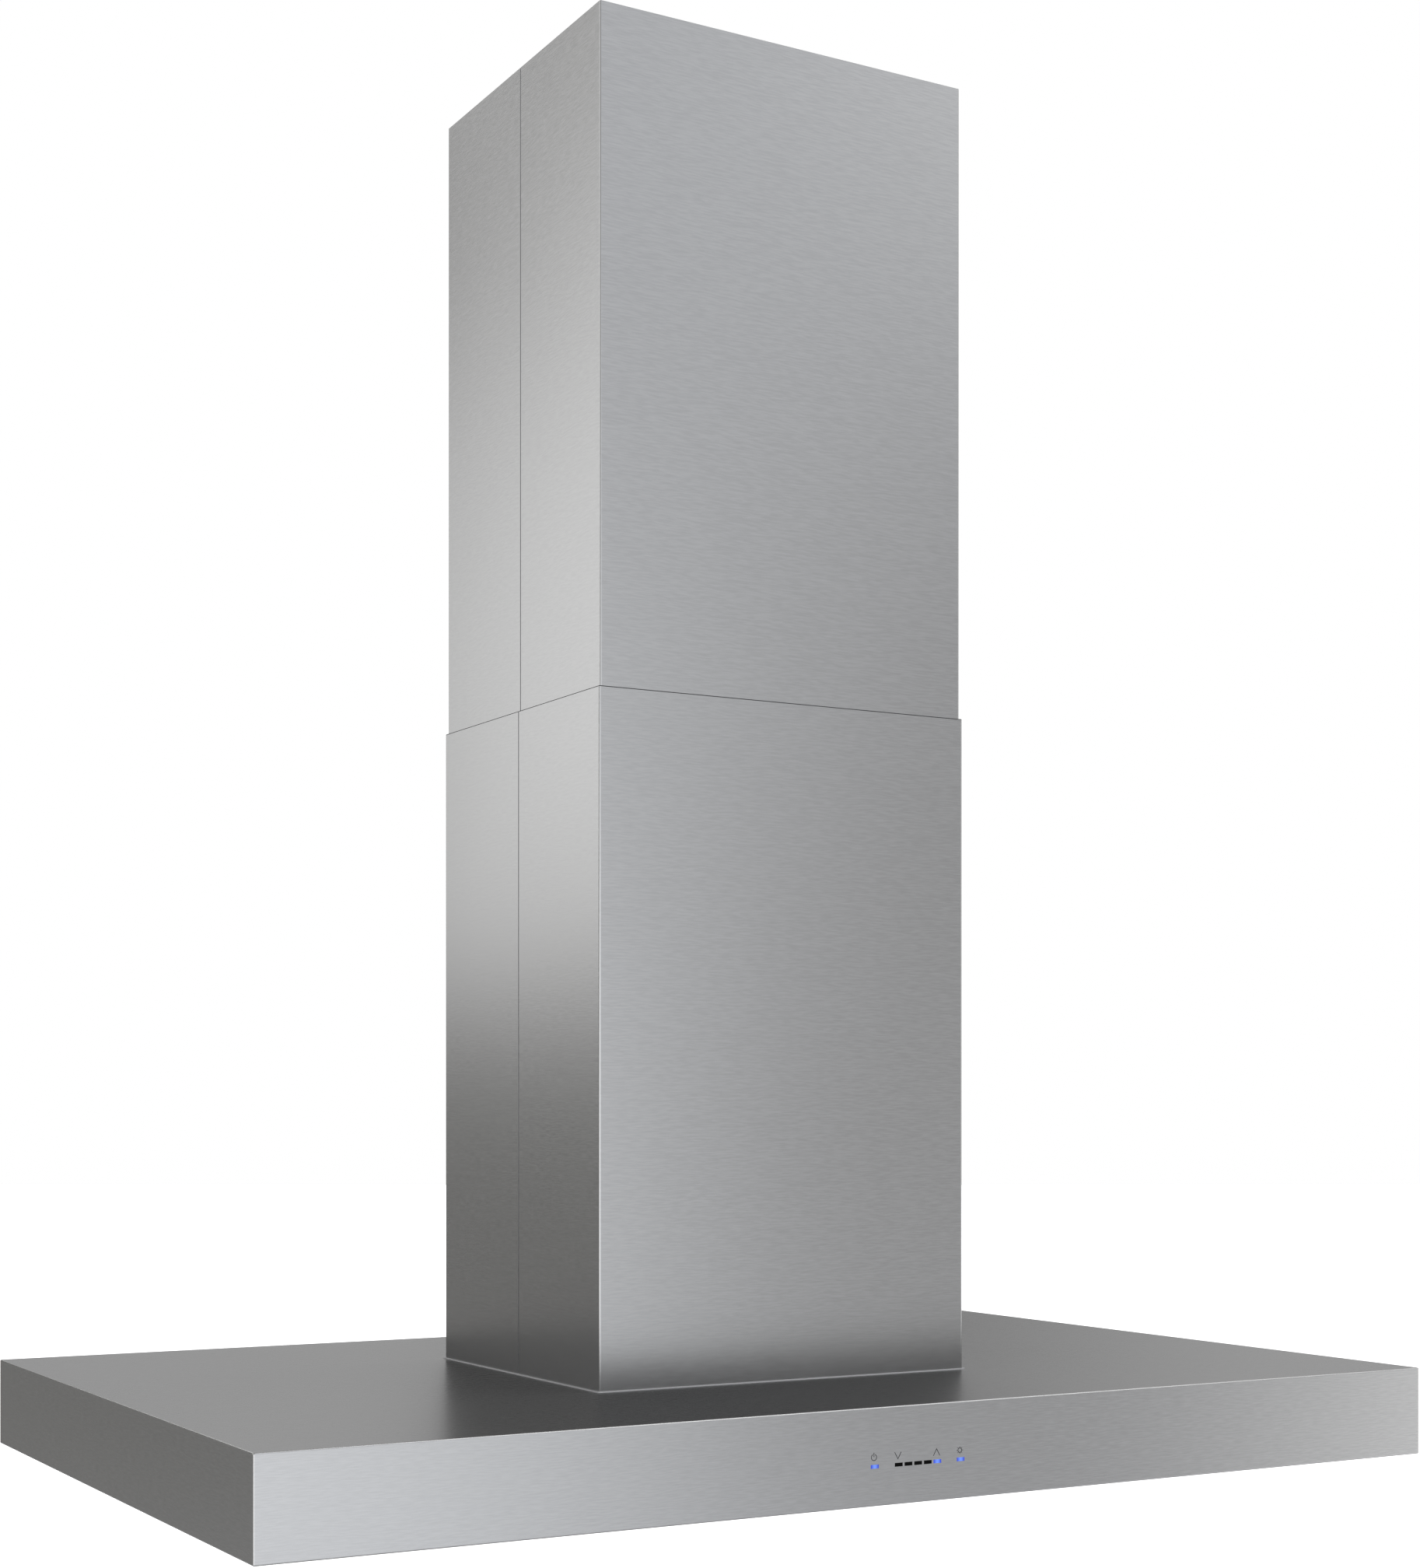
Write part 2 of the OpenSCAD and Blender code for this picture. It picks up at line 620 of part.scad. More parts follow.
// A half-disc flap with two knuckles round the pin; sy is -1 at the front and 1 at the rear
module damper_flap(sy) color("gainsboro") hood() translate([0, 0, damper_z]) difference() {
    union() {
        difference() {
            translate([0, 0, -flap_t / 2]) cylinder(r = flap_r, h = flap_t);
            box_at([-100, sy < 0 ? -knuckle_r - 0.3 : -100, -5],
                [100, sy < 0 ? 100 : knuckle_r + 0.3, 5]);
        }
        for (x = [-50, 30]) translate([-sy * x, 0, 0]) {
            rotate([0, 90, 0]) cylinder(r = knuckle_r, h = 16, center = true);
            box_at([-8, sy < 0 ? -8 : 0, -flap_t / 2], [8, sy < 0 ? 0 : 8, flap_t / 2]);
        }
    }
    rotate([0, 90, 0]) cylinder(r = damper_pin_r + running_gap, h = 200, center = true);
}

// ---------------------------------------------------------------- electrics

module junction_box() color("silver") hood() translate([jbox_x, -jbox[1] / 2, chamber[2] + 0.05])
    difference() {
        cube(jbox);
        translate([1, 1, 1]) cube(jbox - [2, 2, 0]);
        translate([jbox[0] / 2, -1, 14]) rotate([-90, 0, 0]) cylinder(r = 4, h = 4);
    }

module junction_box_lid() color("gainsboro") hood()
    translate([jbox_x, -jbox[1] / 2, chamber[2] + 0.05 + jbox[2]]) difference() {
        union() {
            translate([-1.2, -1.2, 0.05]) cube([jbox[0] + 2.4, jbox[1] + 2.4, 1]);
            for (x = [-1.2, jbox[0] + 0.2]) translate([x, -1.2, -8]) cube([1, jbox[1] + 2.4, 9]);
            for (y = [8, jbox[1] - 8]) translate([jbox[0] / 2, y, 1]) cylinder(r = 3.5, h = 2);
        }
        translate([jbox[0] / 2, jbox[1] / 2, -1]) cylinder(r = 10.4, h = 4);
    }

module cable_clamp() color("silver") hood()
    translate([supply_x, supply_y, chamber[2] + jbox[2] + 0.05]) difference() {
        union() {
            translate([0, 0, -6]) cylinder(r = 10.3, h = 20);
            translate([0, 0, -5]) cylinder(r = 13, h = 4.8, $fn = 6);
            translate([0, 0, 1.15]) cylinder(r = 13, h = 3);
            for (y = [-1, 1]) box_at([-7, y * 12 - 4, 6], [7, y * 12 + 4, 13]);
        }
        translate([0, 0, -10]) cylinder(r = 8, h = 40);
    }

power_box = [190, 96, 40];

module power_board_box() color("dimgray") hood()
    translate([-330, -318, -canopy_sheet - power_box[2] - 0.1]) difference() {
        cube(power_box);
        translate([1.5, 1.5, 1.5]) cube(power_box - [3, 3, 0]);
        translate([power_box[0] - 3, 30, 20]) rotate([0, 90, 0]) cylinder(r = 4, h = 6);
        translate([60, power_box[1] - 3, 20]) rotate([-90, 0, 0]) cylinder(r = 8.5, h = 6);
    }

board_y = -canopy_d / 2 + canopy_sheet + 6;

module touch_board() color("darkgreen") hood() {
    box_at([-62, board_y, window_z - 8], [62, board_y + 1.6, window_z + 18]);
    for (x = [-44, -22, 22, 44])
        box_at([x - 6, board_y + 1.5, window_z], [x + 6, board_y + 4, window_z + 10]);
    for (x = [-56, 56]) translate([x, board_y + 0.1, window_z]) rotate([90, 0, 0])
        cylinder(r = 3, h = 6.05);
}

module windows(places) for (x = places)
    box_at([x - window[0] / 2, -canopy_d / 2, window_z - window[1] / 2],
        [x + window[0] / 2, board_y - 0.05, window_z + window[1] / 2]);

module lit_indicators() color("royalblue") hood() windows(lit_window_x);

module unlit_indicators() color("black") hood() windows(unlit_window_x);

// ---------------------------------------------------------------- lamps

module lamp_body(sx, sy) color("gainsboro") hood() translate([sx * lamp_x, sy * lamp_y, panel_z])
    rotate_extrude() polygon([
        [26.2, -0.1], [28, -1.6], [35, -1.6], [36.2, -0.4], [36.2, -0.05], [30.5, -0.05],
        [30.5, 20], [12, 22], [0, 22], [0, 19.5], [27.8, 18], [27.8, 3.2], [26.2, 3.2]]);

module lamp_lens(sx, sy) color("ivory") hood() translate([sx * lamp_x, sy * lamp_y, panel_z])
    rotate_extrude() polygon([
        [0, 0.3], [26, 0.3], [26, 3.3], [27.6, 3.3], [27.6, 5], [0, 5]]);

// ---------------------------------------------------------------- filters

module at_filter(sx) hood() translate([sx * filter_x, 0, 0]) children();

module filter_frame(sx) color("silver") at_filter(sx) {
    difference() {
        translate([0, 0, panel_z]) linear_extrude(filter_t)
            square([filter_w, filter_d], center = true);
        translate([0, 0, panel_z + filter_sheet]) linear_extrude(filter_t - 2 * filter_sheet)
            square([filter_w - 2 * filter_sheet, filter_d - 2 * filter_sheet], center = true);
        translate([0, 0, panel_z - 1]) linear_extrude(filter_t + 2)
            square([filter_w - 2 * filter_border, filter_d - 2 * filter_border], center = true);
    }
    for (x = [-1, 1]) translate([x * (filter_w / 2 + stub_out / 2 - 4), pivot_y, pivot_z])
        rotate([0, 90, 0]) cylinder(r = pivot_r, h = stub_out + 8, center = true);
}

// A channel of width w whose legs point up (up = 1) or down (up = -1), its floor at z = 0
module channel_2d(w, leg, t, up) difference() {
    translate([-w / 2, up > 0 ? 0 : -leg]) square([w, leg]);
    translate([t - w / 2, up > 0 ? t : -leg - 1]) square([w - 2 * t, leg - t + 1]);
}

module slat_row(count, up, floor_z) for (i = [0 : count - 1])
    translate([(i - (count - 1) / 2) * baffle_pitch, filter_d / 2 - 1.5, floor_z])
        rotate([90, 0, 0]) linear_extrude(filter_d - 3)
            channel_2d(baffle_w, baffle_leg, baffle_sheet, up);

module filter_baffles(sx) color("gainsboro") at_filter(sx) {
    slat_row(baffles_low, 1, panel_z + filter_sheet + 0.1);
    slat_row(baffles_low + 1, -1, panel_z + filter_t - filter_sheet - 0.1);
}

module filter_handle(sx) color("gray") at_filter(sx) translate([0, 6 - filter_d / 2, panel_z]) {
    drop = 11;
    difference() {
        box_at([-45, -5, -drop], [45, 5, -0.05]);
        box_at([-43.5, -6, 1.5 - drop], [43.5, 6, 1]);
    }
    for (x = [-1, 1]) box_at([x * 50 - 6, -5, -1.25], [x * 50 + 6, 5, -0.05]);
}

module filter_pivot_clips() color("dimgray") hood() for (x = [-1, 0, 1]) {
    half = x == 0 ? filter_bar / 2 - 0.5 : 5;
    mid = x * (filter_x + filter_w / 2 + filter_side_gap + half + 0.5);
    difference() {
        box_at([mid - half, pivot_y - 5, panel_z + panel_sheet + 0.05],
            [mid + half, pivot_y + 5, panel_z + panel_sheet + 9]);
        translate([0, pivot_y, pivot_z]) rotate([0, 90, 0])
            cylinder(r = pivot_r + running_gap, h = 3 * filter_w, center = true);
    }
}

module filter_spring_clips() color("dimgray") hood()
    for (s = [-1, 1], x = [-110, 110]) translate([s * filter_x + x, -filter_d / 2, panel_z]) {
        box_at([-8, -16, panel_sheet + 0.05], [8, -1.4, panel_sheet + 0.65]);
        box_at([-8, -2, panel_sheet + 0.05], [8, -1.4, 9]);
        translate([0, -1.4, 9]) rotate([0, 90, 0]) cylinder(r = 0.9, h = 16, center = true);
    }

// ---------------------------------------------------------------- wiring

motor_route = [[-70.1, -26, 122], [-77, -26, 122], [-84, -26, 122], [-104, -40, 132],
    [-115, -56, 160], [-115, -60, 220], [-115, -60, 290], [-115, -62, 318], [-96, -88, 330],
    [-40, -98, 322], [40, -98, 322], [96, -88, 320], [126, -72, 316], [130, -56, 314],
    [130, -48, 314]];
control_route = [[0, -334.1, -36], [0, -330, -36], [0, -326, -36], [-12, -314, -33],
    [-50, -296, -24], [-96, -288, -21.5], [-141, -288, -21.3]];
lamp_end_z = panel_z + 23.9;
lamp_routes = [
    [[-276.4, -223, -21.3], [-279, -208, -22], [-320, -200, -26], [-400, -214, -32],
        [-444, -230, lamp_end_z]],
    [[-270, -223, -21.3], [-274, -196, -16], [-330, -176, -12], [-410, -60, -10],
        [-430, 100, -14], [-448, 200, -30], [-452, 228, lamp_end_z]],
    [[-263.6, -223, -21.3], [-254, -208, -19], [-180, -200, -10], [0, -200, -8], [250, -200, -12],
        [400, -214, -28], [444, -232, lamp_end_z]],
    [[458, -222, lamp_end_z], [446, -190, -22], [426, -60, -10], [424, 100, -12],
        [444, 200, -28], [452, 228, lamp_end_z]]];

module motor_cable() color("dimgray") hood() cable(motor_route, 6, 4);

module canopy_wiring() color("white") hood() {
    cable(control_route, 5, 4);
    for (route = lamp_routes) cable(route, 3.2, 3);
}

// ---------------------------------------------------------------- nodes

module corner_part(prefix) for (i = [0 : 3])
    corner_shape(prefix, i % 2 == 0 ? -1 : 1, i < 2 ? -1 : 1);

module corner_shape(prefix, sx, sy) {
    if (prefix == "upper_upright_") upper_upright(sx, sy);
    if (prefix == "lower_upright_") lower_upright(sx, sy);
    if (prefix == "lamp_body_") lamp_body(sx, sy);
    if (prefix == "lamp_lens_") lamp_lens(sx, sy);
}

module filter_part(i) {
    sx = i == 0 ? -1 : 1;
    filter_frame(sx);
    filter_baffles(sx);
    filter_handle(sx);
}

ceiling_plate();
ceiling_frame_bolts();
upper_cover(-1);  // upper_cover_front
upper_cover(1);  // upper_cover_rear
corner_part("upper_upright_");
canopy_shell();
underside_panel();
panel_screws();
lower_cover(-1);  // lower_cover_front
lower_cover(1);  // lower_cover_rear
cover_foot_frame();
deck_screws();
frame_clamp_bolts();
upright_foot_bolts();
corner_part("lower_upright_");
blower_chamber();
scroll_wrap();
scroll_side(-1);  // scroll_side_left
scroll_side(1);  // scroll_side_right
outlet_transition();
motor_body();
motor_bracket();
motor_shaft();
blower_wheel();
capacitor();
damper_collar();
damper_pin();
damper_flap(-1);  // damper_flap_front
damper_flap(1);  // damper_flap_rear
junction_box();
junction_box_lid();
cable_clamp();
power_board_box();
touch_board();
lit_indicators();
unlit_indicators();
corner_part("lamp_body_");
corner_part("lamp_lens_");
filter_pivot_clips();
filter_spring_clips();
filter_part(0);
filter_part(1);
motor_cable();
canopy_wiring();
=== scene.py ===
"""Looks of the island range hood: brushed steel, controls, underside and studio."""

from math import cos, degrees, pi, radians, sin

import bmesh
import bpy
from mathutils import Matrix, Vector


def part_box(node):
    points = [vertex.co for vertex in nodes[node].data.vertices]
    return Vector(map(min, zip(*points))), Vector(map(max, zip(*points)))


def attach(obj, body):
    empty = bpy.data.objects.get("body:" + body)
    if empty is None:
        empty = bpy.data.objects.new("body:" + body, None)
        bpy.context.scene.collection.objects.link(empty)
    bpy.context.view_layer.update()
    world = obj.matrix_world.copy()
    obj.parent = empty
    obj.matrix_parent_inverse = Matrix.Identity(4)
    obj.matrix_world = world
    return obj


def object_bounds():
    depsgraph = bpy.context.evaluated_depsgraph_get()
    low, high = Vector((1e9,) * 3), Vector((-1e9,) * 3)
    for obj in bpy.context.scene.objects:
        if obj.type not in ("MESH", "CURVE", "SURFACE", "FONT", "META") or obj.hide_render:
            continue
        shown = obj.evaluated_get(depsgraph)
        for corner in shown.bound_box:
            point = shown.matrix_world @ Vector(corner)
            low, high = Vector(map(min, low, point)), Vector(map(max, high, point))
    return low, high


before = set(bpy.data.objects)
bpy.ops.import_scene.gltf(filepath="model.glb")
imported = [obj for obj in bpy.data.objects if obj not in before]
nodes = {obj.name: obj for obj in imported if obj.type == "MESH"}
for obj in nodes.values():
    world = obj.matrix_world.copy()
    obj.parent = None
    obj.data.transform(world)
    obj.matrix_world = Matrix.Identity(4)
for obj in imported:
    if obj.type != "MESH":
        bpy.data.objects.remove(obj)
cad_low, cad_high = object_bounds()
canopy_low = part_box("canopy_shell")[0]

MM = 0.001
ENDS = ("front", "rear")
SIDES = ("left", "right")
CORNERS = [f"{end}_{side}" for end in ENDS for side in SIDES]


# ---------------------------------------------------------------- camera

# A level camera in front of the hood's left corner. Its frame is shifted up, so that the uprights
# stay parallel.
CAMERA_PLACE = (-1.0791, -1.9123, canopy_low.z + 0.3081)
CAMERA_HEADING = 29.70  # degrees from +Y towards +X
SENSOR_WIDTH = 36.0  # mm
FOCAL_LENGTH = 56.54  # mm
SHIFT_UP = 0.2032  # of the frame's long side
NEAREST_SEEN = 0.05
FARTHEST_SEEN = 60.0


def make_camera():
    data = bpy.data.cameras.new("camera")
    data.sensor_width = SENSOR_WIDTH
    data.lens = FOCAL_LENGTH
    data.shift_y = SHIFT_UP
    data.dof.use_dof = False
    data.clip_start = NEAREST_SEEN
    data.clip_end = FARTHEST_SEEN
    camera = bpy.data.objects.new("camera", data)
    camera.location = CAMERA_PLACE
    camera.rotation_euler = (radians(90), 0, -radians(CAMERA_HEADING))
    bpy.context.scene.collection.objects.link(camera)
    bpy.context.scene.camera = camera


# ---------------------------------------------------------------- node helpers

class Graph:
    """Short calls for building a node tree."""

    def __init__(self, tree):
        self.tree = tree
        tree.nodes.clear()

    def add(self, kind, **settings):
        node = self.tree.nodes.new(kind)
        for key, value in settings.items():
            setattr(node, key, value)
        return node

    def link(self, value, socket):
        """Joins an output to a socket, or sets the socket to a plain value."""
        if isinstance(value, bpy.types.NodeSocket):
            self.tree.links.new(value, socket)
        elif value is not None:
            socket.default_value = value

    def math(self, operation, a, b=None, c=None):
        node = self.add("ShaderNodeMath", operation=operation)
        for value, socket in zip((a, b, c), node.inputs):
            self.link(value, socket)
        return node.outputs[0]

    def dot(self, a, b):
        node = self.add("ShaderNodeVectorMath", operation="DOT_PRODUCT")
        self.link(a, node.inputs[0])
        self.link(b, node.inputs[1])
        return node.outputs["Value"]

    def ramp(self, value, low, high):
        """A smooth step from 0 where value is low to 1 where it is high."""
        node = self.add("ShaderNodeMapRange", interpolation_type="SMOOTHSTEP")
        for item, socket in zip((value, low, high), node.inputs):
            self.link(item, socket)
        return node.outputs["Result"]

    def around(self, value, middle, spread):
        """A value from 0 to 1, made to run from half of spread below middle to half above it."""
        return self.math("MULTIPLY_ADD", value, spread, middle - spread / 2)

    def blend(self, a, b, share):
        """Share of a, and the rest of b."""
        return self.math("MULTIPLY_ADD", a, share, self.math("MULTIPLY", b, 1 - share))

    def mix(self, factor, a, b):
        node = self.add("ShaderNodeMix", data_type="RGBA")
        self.link(factor, node.inputs["Factor"])
        self.link(a, node.inputs["A"])
        self.link(b, node.inputs["B"])
        return node.outputs["Result"]

    def coordinates(self, stretch=(1, 1, 1)):
        """Object coordinates in metres, divided along each axis by a feature length."""
        mapping = self.add("ShaderNodeMapping")
        place = self.add("ShaderNodeTexCoord").outputs["Object"]
        self.tree.links.new(place, mapping.inputs["Vector"])
        mapping.inputs["Scale"].default_value = [1 / s for s in stretch]
        return mapping.outputs["Vector"]

    def noise(self, stretch, detail):
        """Noise with features of about the length given along each axis."""
        node = self.add("ShaderNodeTexNoise")
        self.link(self.coordinates(stretch), node.inputs["Vector"])
        node.inputs["Scale"].default_value = 1.0
        node.inputs["Detail"].default_value = detail
        return node.outputs["Fac"]

    def speckle(self, size, detail):
        """Noise with features of the same size along every axis."""
        return self.noise((size, size, size), detail)

    def bump(self, height, strength, distance):
        node = self.add("ShaderNodeBump")
        node.inputs["Strength"].default_value = strength
        node.inputs["Distance"].default_value = distance
        self.tree.links.new(height, node.inputs["Height"])
        return node.outputs["Normal"]


def new_material(name):
    """A material, its graph, and its Principled shader wired to the output."""
    material = bpy.data.materials.new(name)
    material.use_nodes = True
    graph = Graph(material.node_tree)
    shader = graph.add("ShaderNodeBsdfPrincipled")
    output = graph.add("ShaderNodeOutputMaterial")
    material.node_tree.links.new(shader.outputs[0], output.inputs["Surface"])
    return material, graph, shader


def grey(value, tint=(1.0, 1.0, 1.0)):
    return (*(value * t for t in tint), 1.0)


# ---------------------------------------------------------------- studio

COOL = (0.97, 0.99, 1.03)
WARM = (1.0, 0.99, 0.96)

PANELS = [
    # The upper back of the studio
    dict(heading=35, elevation=40, light=0.45,
         edges=[(0, 60, 15), (180, 60, 15), (90, 20, 10), (270, 31, 5)]),
    # The unlit side of the studio, behind the hood's left
    dict(heading=-8, elevation=4, light=0.19, tint=WARM,
         edges=[(0, 15, 8), (180, 60, 9), (90, 34, 8), (270, 16, 8)]),
    # The large softbox at the back left, its upper corner cut
    dict(heading=-50, elevation=12, light=1.02,
         edges=[(40, 22.9, 3.4), (0, 28.2, 1.0), (180, 34, 8), (90, 24, 6), (260, 5.2, 0.8)]),
    # The front of the studio, above and below the horizon
    dict(heading=165, elevation=40, light=0.64, tint=COOL,
         edges=[(0, 45, 12), (180, 50, 12), (90, 24, 10), (270, 25, 7)]),
    dict(heading=150, elevation=-30, light=0.46, tint=COOL,
         edges=[(0, 45, 12), (180, 45, 12), (90, 23, 5), (270, 25, 10)]),
    # The low softbox behind the camera
    dict(heading=185, elevation=-8, light=1.02, tint=(0.965, 0.985, 1.02),
         edges=[(180, 33, 11), (0, 40, 10), (90, 22, 6), (270, 20, 8)]),
    # A grey flag at the front right, and one behind the hood's right
    dict(heading=145, elevation=-3, light=0.38,
         edges=[(0, 5, 3), (180, 5, 3), (90, 5, 4), (270, 6, 4)]),
    dict(heading=33, elevation=6, light=0.10,
         edges=[(0, 5, 6), (180, 6, 5), (90, 8, 6), (270, 12, 8)]),
    # The softbox at the right
    dict(heading=108, elevation=-6, light=1.22,
         edges=[(0, 26, 8), (180, 26, 9), (90, 17, 8), (270, 24, 8)]),
    # A small high box at the front right
    dict(heading=130, elevation=34, light=1.2,
         edges=[(0, 14, 6), (180, 16, 6), (90, 10, 6), (270, 10, 6)]),
    # Lights that from the camera only the folds and corners of the sheet catch: high at the right,
    # low at the left of the camera, and above the back left softbox
    dict(heading=105, elevation=60, light=1.9,
         edges=[(0, 34, 6), (180, 34, 6), (90, 12, 5), (270, 12, 5)]),
    dict(heading=-122, elevation=-8, light=1.35,
         edges=[(0, 24, 8), (180, 24, 8), (90, 15, 6), (270, 18, 8)]),
    dict(heading=-9, elevation=31, light=1.9,
         edges=[(0, 11, 4), (180, 11, 4), (90, 8, 4), (270, 7, 3)]),
]

# The light round the panels, and the elevations between which it turns to that of the ceiling
# and of the floor, in degrees
HORIZON_LIGHT = 0.33
ZENITH_LIGHT = 0.30
FLOOR_LIGHT = 0.33
CEILING_STARTS, CEILING_FULL = 24, 42
FLOOR_STARTS, FLOOR_FULL = -10, -30

# The studio is dimmer in a reflection of a reflection, which keeps the cover's foot, and the deck
# round it, as dark as steel that reflects steel
SECOND_BOUNCE = 0.135
BOUNCES_LIT_FULLY = 1.5

# How far the floor is below the hood, and how far it reaches to each side
FLOOR_DROP = 1.7
FLOOR_REACH = 60.0


def soft_panel(graph, direction, colour_so_far, panel):
    """Lays one soft-edged panel of light, or of dark, over the world's colour.

    A panel's centre has a heading from +Y towards +X and an elevation. Each of its edges has the
    angle its outer side faces, from level towards up, its reach from the centre, and the half
    width of its soft transition. All are in degrees.
    """
    heading = radians(panel["heading"])
    ahead = graph.dot(direction, (sin(heading), cos(heading), 0))
    aside = graph.dot(direction, (cos(heading), -sin(heading), 0))
    z = graph.dot(direction, (0, 0, 1))
    across = graph.math("MULTIPLY", graph.math("ARCTAN2", aside, ahead), degrees(1))
    up = graph.math("MULTIPLY", graph.math("ARCSINE", z), degrees(1))
    up = graph.math("SUBTRACT", up, panel["elevation"])
    mask = None
    for facing, reach, soft in panel["edges"]:
        out = graph.math("MULTIPLY", across, cos(radians(facing)))
        out = graph.math("MULTIPLY_ADD", up, sin(radians(facing)), out)
        part = graph.ramp(out, reach + soft, reach - soft)
        mask = part if mask is None else graph.math("MULTIPLY", mask, part)
    return graph.mix(mask, colour_so_far, grey(panel["light"], panel.get("tint", (1, 1, 1))))


def make_world():
    """A procedural studio for the reflections, and plain white where the camera looks past."""
    world = bpy.data.worlds.new("studio")
    bpy.context.scene.world = world
    world.use_nodes = True
    graph = Graph(world.node_tree)
    direction = graph.add("ShaderNodeTexCoord").outputs["Generated"]
    z = graph.dot(direction, (0, 0, 1))
    high = graph.ramp(z, sin(radians(CEILING_STARTS)), sin(radians(CEILING_FULL)))
    low = graph.ramp(z, sin(radians(FLOOR_STARTS)), sin(radians(FLOOR_FULL)))
    colour = graph.mix(high, grey(HORIZON_LIGHT), grey(ZENITH_LIGHT))
    colour = graph.mix(low, colour, grey(FLOOR_LIGHT))
    for panel in PANELS:
        colour = soft_panel(graph, direction, colour, panel)
    path = graph.add("ShaderNodeLightPath")
    deep = graph.math("GREATER_THAN", path.outputs["Glossy Depth"], BOUNCES_LIT_FULLY)
    colour = graph.mix(graph.math("MULTIPLY", deep, 1 - SECOND_BOUNCE), colour, grey(0.0))
    colour = graph.mix(path.outputs["Is Camera Ray"], colour, grey(1.0))
    background = graph.add("ShaderNodeBackground")
    graph.link(colour, background.inputs["Color"])
    output = graph.add("ShaderNodeOutputWorld")
    graph.link(background.outputs[0], output.inputs["Surface"])


def make_floor():
    """A plain pale floor far below the hood, kept out of the steel's reflections."""
    material, graph, shader = new_material("pale_floor")
    speck = graph.speckle(0.6, 2.0)
    graph.link(graph.mix(speck, grey(0.90), grey(0.92)), shader.inputs["Base Color"])
    shader.inputs["Roughness"].default_value = 0.9
    shader.inputs["Emission Color"].default_value = grey(1.0)
    shader.inputs["Emission Strength"].default_value = 1.0
    mesh = bpy.data.meshes.new("floor")
    corners = [(x * FLOOR_REACH, y * FLOOR_REACH, 0)
               for x, y in ((-1, -1), (1, -1), (1, 1), (-1, 1))]
    mesh.from_pydata(corners, [], [(0, 1, 2, 3)])
    floor = bpy.data.objects.new("floor", mesh)
    floor.location.z = cad_low.z - FLOOR_DROP
    floor.data.materials.append(material)
    floor.visible_glossy = False
    bpy.context.scene.collection.objects.link(floor)


# ---------------------------------------------------------------- materials

# Brushing: the length and width of its fine and of its broad streaks, and the fine ones' share
FINE_STREAK = (11 * MM, 1.0 * MM)
BROAD_STREAK = (38 * MM, 2.6 * MM)
FINE_SHARE = 0.8
CLOUD = 250 * MM

# What the brushing and the cloudiness change in the steel's roughness
GRAIN_ROUGH = 0.06
CLOUD_ROUGH = 0.02

# Galvanised sheet: the sizes of its crystals and of its dust, and the dust's share in the tone
CRYSTAL = 12 * MM
DUST = 1.5 * MM
DUST_SHARE = 0.25

# Plated and moulded surfaces: the size of a patch, and how much their roughness varies
PATCH = 30 * MM
ROUGH_SPREAD = 0.12

# Indicator windows: the least step from one window's edge to the next one, and how far the glow
# reaches from a window's middle, in window widths
LEAST_WINDOW_STEP = 10 * MM
GLOW_REACH = 0.55


def brushed_steel(name, grain, base=0.63, spread=0.04, rough=0.21, anisotropic=0.5):
    """Stainless steel brushed along one axis of the object: grain is 0 for X, 1 for Y, 2 for Z."""
    material, graph, shader = new_material(name)

    def streaks(length, width, detail):
        return graph.noise([length if axis == grain else width for axis in range(3)], detail)

    fine = streaks(*FINE_STREAK, 2.0)
    streaked = graph.blend(fine, streaks(*BROAD_STREAK, 1.0), FINE_SHARE)
    tone = graph.mix(graph.ramp(streaked, 0.30, 0.70), grey(base * (1 - spread)),
                     grey(base * (1 + spread)))
    graph.link(tone, shader.inputs["Base Color"])
    least = rough - (GRAIN_ROUGH + CLOUD_ROUGH) / 2
    rough_grain = graph.math("MULTIPLY_ADD", streaked, GRAIN_ROUGH, least)
    cloud = graph.speckle(CLOUD, 1.0)
    graph.link(graph.math("MULTIPLY_ADD", cloud, CLOUD_ROUGH, rough_grain),
               shader.inputs["Roughness"])
    graph.link(graph.bump(fine, 0.03, 0.2 * MM), shader.inputs["Normal"])
    shader.inputs["Metallic"].default_value = 1.0
    shader.inputs["Anisotropic"].default_value = anisotropic
    # A quarter turn from the tangent, which lies along the grain
    shader.inputs["Anisotropic Rotation"].default_value = 0.25
    along = graph.add("ShaderNodeVectorTransform", vector_type="VECTOR", convert_from="OBJECT",
                      convert_to="WORLD")
    along.inputs[0].default_value = [1.0 if axis == grain else 0.0 for axis in range(3)]
    graph.link(along.outputs[0], shader.inputs["Tangent"])
    return material


def sheet_zinc(name, base=0.50):
    """Galvanised sheet: a faint spangle of crystals over satin zinc."""
    material, graph, shader = new_material(name)
    spangle = graph.add("ShaderNodeTexVoronoi", feature="F1")
    graph.link(graph.coordinates((CRYSTAL, CRYSTAL, CRYSTAL)), spangle.inputs["Vector"])
    spangle.inputs["Scale"].default_value = 1.0
    cell = graph.dot(spangle.outputs["Color"], (0.4, 0.35, 0.25))
    dust = graph.speckle(DUST, 3.0)
    tone = graph.blend(dust, cell, DUST_SHARE)
    graph.link(graph.mix(tone, grey(base * 0.82, (0.97, 1, 1.03)), grey(base * 1.2, (0.98, 1, 1.02))),
               shader.inputs["Base Color"])
    graph.link(graph.around(cell, 0.42, 0.16), shader.inputs["Roughness"])
    graph.link(graph.bump(dust, 0.1, 0.2 * MM), shader.inputs["Normal"])
    shader.inputs["Metallic"].default_value = 1.0
    return material


